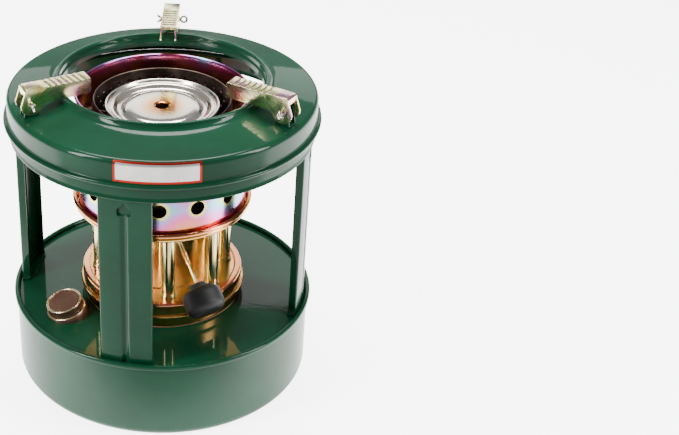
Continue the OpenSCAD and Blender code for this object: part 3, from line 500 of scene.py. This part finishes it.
# Gallery. The tray on the tubes: an upstand round the middle, a flat floor, and a double-rolled rim
# that holds the burner head. Passivated in bands of gold and copper.
gold_zinc = copper_film(
    "gold and copper passivated zinc",
    [(0.0, "#e09a4c"), (0.2, "#f0c472"), (0.42, "#eba85e"), (0.62, "#e0906a"),
     (0.82, "#e8ba5e"), (1.0, "#e09a4c")],
    (45.0, 6.0), 0.19)
gallery = np.vstack([[(39.8, 146), (39.8, 142.0)], arc((40.8, 142.0), 1.0, 180, 270, 5),
                     arc((65.3, 142.8), 1.8, -90, 50, 14), arc((66.7, 146.4), 1.8, -60, 150, 18)])
made_piece("gallery_tray", turned(walled(held(gallery), 0.8)), gold_zinc, "stove",
           ["gallery"])

# Burner head. Two perforated flame tubes inside an outer shell with a row of air holes, tied by three
# cross pins; it lifts off the gallery in one piece.


def pierced_tube(radius_at, below, above, levels, pitch_z, count, k, hole, stagger):
    """A tube with rows of round holes. Each cell is rings of quads from its hole to its rectangle,
    (1 - t) hole (cos u, sin u) + t rectangle(u), wrapped round the tube; below and above are plain rows
    of (r, z)."""
    side = np.arange(k) / k * 2 - 1
    one = np.ones(k)
    width = 2 * np.pi * radius_at(np.array(levels).mean()) / count
    rim = np.concatenate([np.stack([side, -one], 1), np.stack([one, side], 1), np.stack([-side, one], 1),
                          np.stack([-one, -side], 1)]) * (width / 2, pitch_z / 2)
    ring = hole * rim / np.linalg.norm(rim, axis=1, keepdims=True)
    t = np.array([0, 0.12, 0.4, 1.0])[:, None, None]
    cell = (1 - t) * ring + t * rim
    row = np.arange(len(levels))[:, None]
    mid = (np.arange(count)[None] + 0.5 * stagger * (row % 2)) * 2 * np.pi / count
    a = mid[:, :, None, None] + cell[None, None, :, :, 0] * (2 * np.pi / count / width)
    z = np.array(levels, float)[:, None, None, None] + cell[None, None, :, :, 1] + 0 * a
    r = radius_at(z)
    points = np.stack([r * np.cos(a), r * np.sin(a), z], -1).reshape(-1, 3)
    one_cell = grid(4, 4 * k, False, True)[:, ::-1]
    faces = (one_cell[None] + (np.arange(len(levels) * count) * 16 * k)[:, None, None]).reshape(-1, 4)
    parts = [(points, faces)]
    turn = (np.arange(count * k) / k + 0.5) * 2 * np.pi / count
    for rows in (below, above):
        rr, zz = np.array(rows, float)[:, :1], np.array(rows, float)[:, 1:]
        plain = np.stack([rr * np.cos(turn), rr * np.sin(turn), zz + 0 * turn], -1).reshape(-1, 3)
        parts.append((plain, grid(len(rows), count * k, False, True)))
    return together(*parts)


def spun_by(surface, azimuth):
    """The surface turned about Z to a new azimuth."""
    return seated(surface[0], azimuth, 0, 0, 0), surface[1]


shell_holes = 14
shell_line = np.vstack([[(64.0, 180.0), (64.0, 180.4), (64.0, 228.6)], arc((64.2, 231.8), 1.2, -80, 130, 14)])
shell = spun_by(pierced_tube(lambda z: 64.0 + 0 * z,
                             [(64.0, 142.1), (64.0, 142.5), (64.0, 151.6), (64.0, 152.0)],
                             shell_line, [166.0], 28.0, shell_holes, 14, 5.5, 0), 268.0)


def hole_gap(at):
    """Distance in millimetres from the edge of the nearest air hole."""
    pitch = 2 * np.pi / shell_holes
    a = np.arctan2(at[:, 1], at[:, 0]) - math.radians(268.0)
    off = (a - np.round(a / pitch) * pitch) * 64.0
    return np.hypot(off, at[:, 2] - 166.0) - 5.5


# Rainbow zinc: a heavy chromate film on zinc, green and blue at the height of the holes and violet to pink
# away from them, with a straw ring round each hole and fine vertical drawing lines. The mark called soot is
# the inside, baked to red-brown.
rainbow, tree, shader, place = new_finish("rainbow passivated zinc", {"Metallic": 1.0, "Roughness": 0.2})
stretch = add(tree, "ShaderNodeMapping", {"Vector": place, "Scale": (1.0, 1.0, 0.35)})
cloud = add(tree, "ShaderNodeTexNoise", {"Vector": stretch.outputs["Vector"], "Scale": 21.0, "Detail": 3.0,
                                         "Distortion": 1.0})
level = add(tree, "ShaderNodeSeparateXYZ", {"Vector": place})
over = add(tree, "ShaderNodeMath", {0: level.outputs["Z"], 1: 0.166}, operation="SUBTRACT")
away = add(tree, "ShaderNodeMath", {0: over.outputs[0]}, operation="ABSOLUTE")
film = add(tree, "ShaderNodeMath", {0: away.outputs[0], 1: 22.0, 2: cloud.outputs["Fac"]},
           operation="MULTIPLY_ADD")
turn = add(tree, "ShaderNodeMath", {0: film.outputs[0], 1: 1.35}, operation="PINGPONG")
tone = add(tree, "ShaderNodeValToRGB", {"Fac": turn.outputs[0]},
           stops=[(0.22, "#dc9a2e"), (0.36, "#cfc66a"), (0.48, "#7fbda6"), (0.58, "#83a9c4"),
                  (0.68, "#b184bf"), (0.8, "#d8689c"), (1.0, "#e08f5c")])
gap = add(tree, "ShaderNodeAttribute", attribute_name="gap")
halo = add(tree, "ShaderNodeMapRange", {"Value": gap.outputs["Fac"], "From Min": 0.3, "From Max": 3.4,
                                        "To Min": 0.9, "To Max": 0.0})
ringed = add(tree, "ShaderNodeMix", {"Factor": halo.outputs["Result"]}, data_type="RGBA")
tree.links.new(tone.outputs["Color"], ringed.inputs["A"])
ringed.inputs["B"].default_value = linear("#e3d36a")
soot = add(tree, "ShaderNodeAttribute", attribute_name="soot")
baked = add(tree, "ShaderNodeMix", {"Factor": soot.outputs["Fac"]}, data_type="RGBA")
tree.links.new(ringed.outputs["Result"], baked.inputs["A"])
baked.inputs["B"].default_value = linear("#55281f")
tree.links.new(baked.outputs["Result"], shader.inputs["Base Color"])
draw = add(tree, "ShaderNodeMapping", {"Vector": place, "Scale": (1.0, 1.0, 0.03)})
lines = add(tree, "ShaderNodeTexNoise", {"Vector": draw.outputs["Vector"], "Scale": 900.0, "Detail": 3.0})
bump = add(tree, "ShaderNodeBump", {"Height": lines.outputs["Fac"], "Strength": 0.25, "Distance": 0.00006})
tree.links.new(bump.outputs["Normal"], shader.inputs["Normal"])
made_piece("shell", shell, rainbow, "burner_head", ["outer_shell"], wall=0.6, solid=False,
           sharp=50, marks={"gap": hole_gap, "soot": lambda at:
                            np.clip((63.8 - np.hypot(at[:, 0], at[:, 1])) / 0.2, 0, 1)
                            * np.clip((227.0 - at[:, 2]) / 5, 0, 1)})

# Heat-dark steel: bare mild steel blued and browned by the flame, scaled and half matt.
dark_steel, tree, shader, place = new_finish("flame-darkened steel", {"Metallic": 0.9, "Roughness": 0.45})
scale = add(tree, "ShaderNodeTexNoise", {"Vector": place, "Scale": 70.0, "Detail": 6.0})
tone = add(tree, "ShaderNodeValToRGB", {"Fac": scale.outputs["Fac"]},
           stops=[(0.25, "#2b2320"), (0.5, "#54463f"), (0.7, "#6f6158"), (0.85, "#4c4a54")])
tree.links.new(tone.outputs["Color"], shader.inputs["Base Color"])
rough = add(tree, "ShaderNodeMapRange", {"Value": scale.outputs["Fac"], "To Min": 0.3, "To Max": 0.62})
tree.links.new(rough.outputs["Result"], shader.inputs["Roughness"])

hole_pitch, hole_radius, first_row = 5.6, 1.3, 152.0
outer_levels = np.arange(13) * hole_pitch + first_row
outer = pierced_tube(lambda z: np.interp(z, [142.1, 227.0], [55.0, 51.4]),
                     [(55.0, 142.1), (54.7, 149.2)], [(51.82, 222.0), (51.44, 226.0), (51.0, 227.0)],
                     outer_levels, hole_pitch, 36, 4, hole_radius, 1)
made_piece("outer_perforated_tube", outer, dark_steel, "burner_head", ["outer_flame_tube"],
           wall=0.6, solid=False)
inner = pierced_tube(lambda z: 41.5 + 0 * z, [(41.5, 142.1), (41.5, 149.2)], [(41.5, 210.8), (41.5, 217.3)],
                     np.arange(11) * hole_pitch + first_row, hole_pitch, 30, 4, hole_radius, 1)
made_piece("inner_perforated_tube", inner, dark_steel, "burner_head", ["inner_flame_tube"],
           wall=0.6, solid=False)
trimmed_copy("cross_pins", "tie_pins", dark_steel, "burner_head", 0)

# Spreader dish. A nickel-plated pressing on the inner tube: a thin rolled rim, a narrow groove, a sloping
# wall and a wide flat middle round the draught hole, tinted orange to straw where the flame heats it most.
dish = np.vstack([
    [(42.35, 213.4), (42.35, 219.9)], arc((41.9, 221.2), 1.1, -40, 150, 14),
    eased([(40.9, 221.5), (39.8, 220.0), (38.3, 220.5), (36.4, 220.2), (33.4, 217.5), (30.6, 217.1),
           (27.2, 219.6), (24.0, 220.1), (6.4, 220.3), (5.0, 219.8)],
          (0.6, 0.7, 0.8, 1.2, 1.3, 1.3, 1.4, 0.6), 5)[1:]])
nickel, tree, shader, place = new_finish("heat-tinted nickel plate", {"Metallic": 1.0, "Roughness": 0.16})
flat = add(tree, "ShaderNodeVectorMath", {0: place, 1: (1.0, 1.0, 0.0)}, operation="MULTIPLY")
radius = add(tree, "ShaderNodeVectorMath", {0: flat.outputs["Vector"]}, operation="LENGTH")
cloud = add(tree, "ShaderNodeTexNoise", {"Vector": place, "Scale": 60.0, "Detail": 3.0})
wander = add(tree, "ShaderNodeMath", {0: cloud.outputs["Fac"], 1: 0.006, 2: radius.outputs["Value"]},
             operation="MULTIPLY_ADD")
heat = add(tree, "ShaderNodeMapRange", {"Value": wander.outputs[0], "From Min": 0.006, "From Max": 0.046})
tone = add(tree, "ShaderNodeValToRGB", {"Fac": heat.outputs["Result"]},
           stops=[(0.0, "#a8622f"), (0.12, "#dd9a5c"), (0.26, "#eec695"), (0.4, "#efe2cf"), (0.62, "#dedbd6"),
                  (0.8, "#e9dfd2"), (1.0, "#efe9df")])
tree.links.new(tone.outputs["Color"], shader.inputs["Base Color"])
swirl = add(tree, "ShaderNodeTexNoise", {"Vector": place, "Scale": 650.0, "Detail": 3.0})
rough = add(tree, "ShaderNodeMapRange", {"Value": swirl.outputs["Fac"], "To Min": 0.1, "To Max": 0.24})
tree.links.new(rough.outputs["Result"], shader.inputs["Roughness"])
made_piece("dish", turned(walled(held(dish), 0.8), 192), nickel, "burner_head",
           ["spreader_dish"])

# Regulator. A thin rod in two lengths joined by a crimped copper sleeve, sloping down and out between two
# wick tubes to a moulded phenolic knob; the pinion at its inner end lifts the wicks.
shaft_seat = (298, 0, 154, 129, -5.5)
rod_line = eased([(0, 1), (1.15, 1), (1.15, 61.6), (0, 61.6)], (0.3, 0.3), 3)
points, faces = turned(held(rod_line), 40)
rod_start = -6.8
rod = np.stack([points[:, 0], points[:, 1], np.interp(points[:, 2], [1, 61.6], [rod_start, 62.49])], 1)
made_piece("rod_inner", (seated(rod, *shaft_seat), faces), pale_zinc, "regulator",
           ["inner_shaft"])
rod = np.stack([points[:, 0], points[:, 1], np.interp(points[:, 2], [1, 61.6], [62.69, 97.8])], 1)
made_piece("rod_outer", (seated(rod, *shaft_seat), faces), pale_zinc, "regulator",
           ["outer_shaft"])
sleeve = eased([(1.2, 57.6), (2.0, 57.6), (2.0, 59.5), (1.75, 60.2), (1.75, 61.4), (2.0, 62.0), (2.0, 63.2),
                (1.75, 63.8), (1.75, 65.0), (2.0, 65.7), (2.0, 67.6), (1.2, 67.6)], (0.2,) * 10, 3)
points, faces = turned(held(np.vstack([sleeve, sleeve[:1]]))[:-1], 40)
made_piece("crimp_sleeve", (seated(points, *shaft_seat), faces), copper_zinc, "regulator",
           ["shaft_sleeve"])

# Knob: compression-moulded phenolic, near black and half matt: a short hub and a plain grip whose edges
# are rounded to 6 mm, with a shallow dish in its face.
grip = np.vstack([[(1.17, 84.1)],
                  eased([(1.17, 84.1), (6.5, 84.1), (6.5, 87.8), (9.0, 88.04)], (0.9, 0.8), 5)[1:],
                  arc((9.0, 94.04), 6.0, -90, 0, 16)[1:], arc((9.0, 101.54), 6.0, 0, 82, 16),
                  eased([(9.0, 107.5), (7.2, 107.2), (0, 106.8)], (0.9,), 4)[1:], [(0, 98.1), (1.17, 98.1)]])
points, faces = turned(held(grip), 160)
phenolic, tree, shader, place = new_finish(
    "black moulded phenolic", {"Roughness": 0.55, "IOR": 1.6, "Specular IOR Level": 0.3})
speck = add(tree, "ShaderNodeTexNoise", {"Vector": place, "Scale": 600.0, "Detail": 5.0})
tone = add(tree, "ShaderNodeValToRGB", {"Fac": speck.outputs["Fac"]},
           stops=[(0.3, "#0d0d0e"), (0.7, "#1b1b1c")])
tree.links.new(tone.outputs["Color"], shader.inputs["Base Color"])
rough = add(tree, "ShaderNodeMapRange", {"Value": speck.outputs["Fac"], "To Min": 0.5, "To Max": 0.66})
tree.links.new(rough.outputs["Result"], shader.inputs["Roughness"])
bump = add(tree, "ShaderNodeBump", {"Height": speck.outputs["Fac"], "Strength": 0.3, "Distance": 0.0001})
tree.links.new(bump.outputs["Normal"], shader.inputs["Normal"])
made_piece("grip", (seated(points, *shaft_seat), faces), phenolic, "regulator",
           ["knob"], sharp=45)

# Lifting gear. A cast zinc housing on a guide tube holds the pinion against the rack of the lifting rod,
# whose lower end carries the wick plate inside the tank; a strap under the gallery steadies the shaft.
cast_zinc, tree, shader, place = new_finish("die-cast zinc", {"Metallic": 1.0, "Roughness": 0.5})
skin = add(tree, "ShaderNodeTexNoise", {"Vector": place, "Scale": 350.0, "Detail": 5.0})
tone = add(tree, "ShaderNodeValToRGB", {"Fac": skin.outputs["Fac"]},
           stops=[(0.3, "#7f7f7c"), (0.7, "#a6a6a1")])
tree.links.new(tone.outputs["Color"], shader.inputs["Base Color"])
bump = add(tree, "ShaderNodeBump", {"Height": skin.outputs["Fac"], "Strength": 0.4, "Distance": 0.0001})
tree.links.new(bump.outputs["Normal"], shader.inputs["Normal"])
for node, name, coat, body, slot, bevel in (
        ("rack_housing", "gear_housing", cast_zinc, "stove", "cast_zinc", 0),
        ("guide_tube", "rod_guide", pale_zinc, "stove", "gold_zinc", 0),
        ("shaft_bracket", "shaft_strap", pale_zinc, "stove", "gold_zinc", 0),
        ("pinion", "gear", pale_zinc, "regulator", "gold_zinc", 0),
        ("lift_rod", "toothed_rod", pin_steel, "wick_set", "bright_steel", 0),
        ("wick_carrier", "wick_plate", pin_steel, "wick_set", "bright_steel", 0)):
    trimmed_copy(node, name, coat, body, bevel)

# The studio: a pale matt sweep lit from below behind the stove, soft lights and the camera, raised and
# looking down at the stove. The panel at the back shows in the deck and the ring's top.
paper, tree, shader, place = new_finish("pale matt floor", {"Roughness": 0.7, "Emission Color": (1, 1, 1, 1)})
depth = add(tree, "ShaderNodeSeparateXYZ", {"Vector": place})
glow = add(tree, "ShaderNodeMapRange", {"Value": depth.outputs["Y"], "From Min": -0.2, "From Max": -0.11,
                                        "To Max": 5.0}, interpolation_type="SMOOTHSTEP")
tree.links.new(glow.outputs["Result"], shader.inputs["Emission Strength"])
fibre = add(tree, "ShaderNodeTexNoise", {"Vector": place, "Scale": 40.0, "Detail": 4.0})
tone = add(tree, "ShaderNodeValToRGB", {"Fac": fibre.outputs["Fac"]},
           stops=[(0.2, "#f1f1f0"), (0.8, "#f6f6f5")])
tree.links.new(tone.outputs["Color"], shader.inputs["Base Color"])
spread = bpy.data.meshes.new("floor")
spread.from_pydata([(-4, -4, 0), (4, -4, 0), (4, 4, 0), (-4, 4, 0)], [], [(0, 1, 2, 3)])
spread.materials.append(paper)
floor = bpy.data.objects.new("floor", spread)
bpy.context.scene.collection.objects.link(floor)

world = bpy.data.worlds.new("studio")
bpy.context.scene.world = world
world.use_nodes = True
world.node_tree.nodes["Background"].inputs["Color"].default_value = linear("#e6e8ea")
world.node_tree.nodes["Background"].inputs["Strength"].default_value = 0.35
for name, at, width, height, power in (
        ("key", (-0.95, -0.55, 0.85), 0.25, 0.9, 26), ("fill", (1.0, -0.35, 0.8), 0.25, 0.9, 19),
        ("top", (0.0, 0.35, 1.3), 0.9, 0.4, 26), ("back", (0.0, 1.0, 0.62), 1.3, 0.25, 3.5)):
    light = bpy.data.lights.new(name, "AREA")
    light.shape, light.size, light.size_y, light.energy = "RECTANGLE", width, height, power
    lamp = bpy.data.objects.new(name, light)
    lamp.location = at
    lamp.rotation_euler = (Vector((0, 0, 0.13)) - Vector(at)).to_track_quat("-Z", "Y").to_euler()
    bpy.context.scene.collection.objects.link(lamp)

lens = bpy.data.cameras.new("camera")
lens.lens, lens.sensor_width, lens.shift_x, lens.clip_start = 74.8, 36.0, 0.261, 0.01
camera = bpy.data.objects.new("camera", lens)
camera.location = (0.0, -0.940, 0.684)
camera.rotation_euler = (math.radians(90 - 30.82), 0.0, 0.0)
bpy.context.scene.collection.objects.link(camera)
bpy.context.scene.camera = camera
